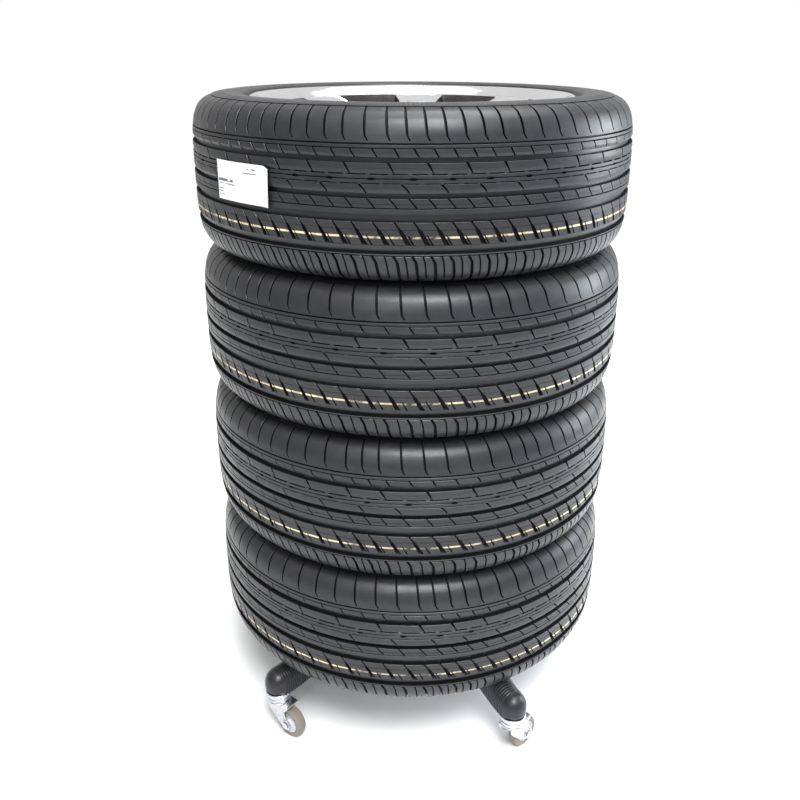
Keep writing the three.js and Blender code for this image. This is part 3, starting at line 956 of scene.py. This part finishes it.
def arm_shape():
    rings = []
    at = lambda r, table: float(np.interp(r, ARM_R, table))

    def section(r, drop=0.0):
        half, low, high = at(r, ARM_HALF), at(r, ARM_LOW), at(r, ARM_HIGH)
        return arch_ring(r, half - drop, low, high - drop)

    rings.append(section(30))
    rings.append(section(58))
    first, last = 62.0, 311.0
    count = round((last - first) / RIB_PITCH)
    pitch = (last - first) / count
    for k in range(count):
        r = first + k * pitch
        rings += [section(r, RIB_DEPTH), section(r + 0.5, RIB_DEPTH), section(r + 0.9, 0.9),
                  section(r + 1.5, 0.25), section(r + 2.5, 0.0), section(r + pitch - 1.1, 0.25),
                  section(r + pitch - 0.5, 0.9)]
    rings.append(section(311.4, RIB_DEPTH))
    rings.append(section(311.9, RIB_DEPTH))
    rings.append(section(312.5, 0.4))
    rings.append(section(313.4, 0.0))
    steps = 16
    for i in range(steps + 1):
        a = math.radians(3 + 85 * i / steps)
        half = max(20.5 * math.cos(a), 1.2)
        high = 88 + 22.7 * math.cos(a)
        under = 71 + 11 * (1 - math.cos(a))
        roundness = min(13.0 * min(1, (i + 2) / 6), half * 0.62)
        rings.append(arch_ring(314 + 20.5 * math.sin(a), half, under, high, roundness))
    return loft(rings)


def star_base_mesh():
    profile = [(7, 104), (43.5, 104), (43, 120), (42, 150), (28, 167.5), (15.6, 167.9),
               (15.6, 120.8), (7, 120.8)]
    hub = turned_shape(rounded(profile, 3.5, 5), 96)
    arm = arm_shape()
    shapes = [hub]
    for k in range(5):
        turn = Matrix.Rotation(math.radians(FIRST_ARM + 72 * k), 4, "Z")
        shapes.append(moved(arm, turn))
    return mesh_from("star base", *together(*shapes), BLACK_NYLON, 30)


def hexagon(radius):
    return [(radius * math.cos(math.pi * k / 3), radius * math.sin(math.pi * k / 3)) for k in range(6)]


def make_base():
    put("moulded_star_base", star_base_mesh(), "base", ["star_base"])
    tube = turned_shape(rounded([(12.5, 121), (15, 121), (15, 946), (12.5, 946)], 0.5, 2), 64)
    put("post_tube", mesh_from("post tube", *tube, POST_STEEL), "base", ["centre_post"])
    slug = turned_shape(rounded([(6.4, 121), (12.1, 121), (12.1, 143), (6.4, 143)], 0.8, 3), 48)
    put("threaded_slug", mesh_from("threaded slug", *slug, POST_STEEL), "base", ["post_slug"])
    dome = [(0, 928), (11.6, 928), (12.2, 931), (12.2, 946.3), (20.5, 946.3), (20.5, 948.6),
            (18.2, 952.4), (13.5, 954.9), (7, 956), (0, 956)]
    cap = turned_shape(rounded(dome, 1.0, 4, False), 64)
    put("domed_post_cap", mesh_from("domed post cap", *cap, GREY_NYLON), "base", ["post_cap"])
    washer = turned_shape(rounded([(6.6, 101.2), (17, 101.2), (17, 103.7), (6.6, 103.7)], 0.5, 2), 48)
    put("hub_plate_washer", mesh_from("hub washer", *washer, ZINC_PLATE), "base", ["hub_washer"])
    head = slab(hexagon(10), 93.4, 100.9, 0.8)
    shank = turned_shape([(0, 99), (6, 99), (6, 141), (0, 141)], 32)
    put("hub_hex_bolt", mesh_from("hub bolt", *together(head, shank), ZINC_PLATE), "base", ["hub_bolt"])


# ---------------------------------------------------------------- castors


def fork_shape():
    cheek_in, sheet = 10.6, 2.2
    outline = rounded([(-18.5, 58.3), (30, 58.3), (30, 55), (22.5, 47), (25, 37), (34.5, 29),
                       (35, 21), (30, 16.2), (22, 16.2), (14, 20.5), (3, 29.5), (-8, 40),
                       (-16, 49)], 3, 3)
    cheek = slab(outline, 0, sheet, 0.6)
    stand = Matrix.Rotation(math.pi / 2, 4, "X")
    left = moved(cheek, Matrix.Translation((0, cheek_in + sheet, 0)) @ stand)
    right = moved(cheek, Matrix.Translation((0, -cheek_in, 0)) @ stand)
    plate = slab(rounded([(-17, -12.4), (30.5, -12.4), (30.5, 12.4), (-17, 12.4)], 2, 2), 55.6, 58.4, 0.8)
    ring = [(5.6, 55.2), (17.5, 55.2), (19, 56.6), (19, 59), (15, 59), (13.5, 58), (5.6, 58)]
    crown = turned_shape(rounded(ring, 0.8, 3), 48)
    bosses = []
    for low, high in ((-14, -12.4), (12.4, 14)):
        boss = turned_shape(rounded([(4.7, low), (8.6, low), (8.6, high), (4.7, high)], 0.4, 2), 32)
        bosses.append(moved(turned_across(boss), Matrix.Translation(AXLE)))
    return together(left, right, plate, crown, *bosses)


def race_shape():
    lower = rounded([(5.4, 59.3), (17.5, 59.3), (20, 61.5), (20, 65.6), (18.4, 66.4), (5.4, 66.4)], 0.8, 3)
    upper = rounded([(5.4, 66.6), (19, 66.6), (20.2, 67.8), (20.2, 74), (18.8, 74.8), (17.8, 72.6),
                     (16.4, 70.7), (5.4, 70.7)], 0.6, 3)
    return together(turned_shape(lower, 64), turned_shape(upper, 64))


def axle_shape():
    head = slab(hexagon(6.5), 14.1, 16.1, 0.6)
    dome = rounded([(0, 13), (5.8, 13), (5.8, 15.1), (3.8, 16.1), (0, 16.1)], 0.6, 3, False)
    rivet = turned_shape(dome, 32)
    far = moved(rivet, Matrix.Rotation(math.pi, 4, "X"))
    shank = turned_shape([(0, -14), (4, -14), (4, 14.2), (0, 14.2)], 32)
    return turned_across(together(head, shank, far))


def core_shape():
    profile = [(4.4, -10), (7.6, -10), (8, -9.2), (8.6, -7), (13.4, -6.2), (15, -8), (16.6, -8),
               (16.6, 8), (15, 8), (13.4, 6.2), (8.6, 7), (8, 9.2), (7.6, 10), (4.4, 10)]
    return turned_across(turned_shape(rounded(profile, 0.6, 3), 64))


def tread_ring_shape():
    profile = [(16.9, -8.6), (20, -9), (23, -8.2), (24.6, -6), (25, -3), (25, 3), (24.6, 6),
               (23, 8.2), (20, 9), (16.9, 8.6)]
    return turned_across(turned_shape(rounded(profile, 1.2, 3), 96))


def make_castors():
    fork = mesh_from("fork", *fork_shape(), ZINC_PLATE, 32)
    race = mesh_from("race", *race_shape(), ZINC_PLATE, 32)
    stem_profile = rounded([(0, 51), (8, 51), (8, 54.2), (5, 54.2), (5, 98), (0, 98)], 0.8, 3, False)
    stem = mesh_from("stem", *turned_shape(stem_profile, 32), ZINC_PLATE)
    axle = mesh_from("axle", *axle_shape(), ZINC_PLATE, 30)
    core = mesh_from("core", *core_shape(), CASTOR_PLASTIC, 30)
    tread = mesh_from("castor tread", *tread_ring_shape(), CASTOR_RUBBER, 40)
    for k, side in enumerate(CASTOR_SIDES):
        a = math.radians(FIRST_ARM + 72 * k)
        place = Vector((CASTOR_CIRCLE * math.cos(a), CASTOR_CIRCLE * math.sin(a), 0)) * MM
        base = Matrix.Translation(place) @ Matrix.Rotation(math.radians(CASTOR_HEADINGS[k]), 4, "Z")
        swivel, roller = f"{side}_swivel", f"{side}_roller"
        for piece, mesh, body, node, slot, at in (
                ("pintle", stem, "base", "stem", "zinc_steel", (0, 0, 0)),
                ("swivel_race", race, "base", "race", "zinc_steel", (0, 0, 0)),
                ("pressed_fork", fork, swivel, "fork", "zinc_steel", (0, 0, 0)),
                ("axle_bolt", axle, swivel, "axle", "zinc_steel", AXLE),
                ("roller_core", core, roller, "core", "castor_core_plastic", AXLE),
                ("roller_tread", tread, roller, "tread", "castor_tread_rubber", AXLE)):
            put(f"{side}_{piece}", mesh, body, [f"{side}_castor_{node}"], at, base=base)


# ---------------------------------------------------------------- studio


def make_studio():
    sheet = bpy.data.meshes.new("studio floor")
    count, reach = 96, 3.8
    angles = [2 * math.pi * i / count for i in range(count)]
    rim = [(reach * math.cos(a), reach * math.sin(a), 0) for a in angles]
    sheet.from_pydata(rim, [], [list(range(count))])
    sheet.materials.append(floor_finish())
    floor = bpy.data.objects.new("studio_floor", sheet)
    bpy.context.collection.objects.link(floor)
    world = bpy.data.worlds.new("soft room")
    world.use_nodes = True
    tree = world.node_tree
    seen = tree.nodes.new("ShaderNodeLightPath")
    sheen = maths(tree, "MULTIPLY_ADD", seen.outputs["Is Glossy Ray"], 0.42, 0.32)
    strength = maths(tree, "MULTIPLY_ADD", seen.outputs["Is Camera Ray"], 0.68, sheen)
    background = tree.nodes["Background"]
    background.inputs["Color"].default_value = (1, 1, 1, 1)
    tree.links.new(strength, background.inputs["Strength"])
    bpy.context.scene.world = world
    bpy.context.scene.view_settings.view_transform = "Standard"
    sky = bpy.data.lights.new("soft ceiling", "SUN")
    sky.energy = 1.5
    sky.angle = math.radians(90)
    ceiling = bpy.data.objects.new("soft ceiling", sky)
    bpy.context.collection.objects.link(ceiling)
    ceiling.rotation_euler = (math.radians(14), math.radians(12), 0)
    for name, place, aim, size, power, tint in (
            ("overhead softbox", (0.7, 0.2, 4.2), (0, 0, 0.9), 2.6, 130, (1, 1, 1)),
            ("high front softbox", (0.5, -2.5, 4.1), (0, -0.2, 0.9), 2.0, 265, (0.98, 0.99, 1)),
            ("front softbox", (-0.7, -3.2, 2.3), (0, 0, 0.7), 1.2, 20, (1, 1, 1)),
            ("window side softbox", (2.5, 0.6, 1.1), (0, 0, 0.6), 1.5, 52, (0.86, 0.93, 1))):
        lamp = bpy.data.lights.new(name, "AREA")
        lamp.shape = "DISK"
        lamp.size = size
        lamp.energy = power
        lamp.color = tint
        holder = bpy.data.objects.new(name, lamp)
        bpy.context.collection.objects.link(holder)
        holder.location = place
        holder.rotation_mode = "QUATERNION"
        holder.rotation_quaternion = (Vector(aim) - Vector(place)).to_track_quat("-Z", "Y")


make_studio()
make_tyres()
make_wheels()
make_label()
make_base()
make_castors()
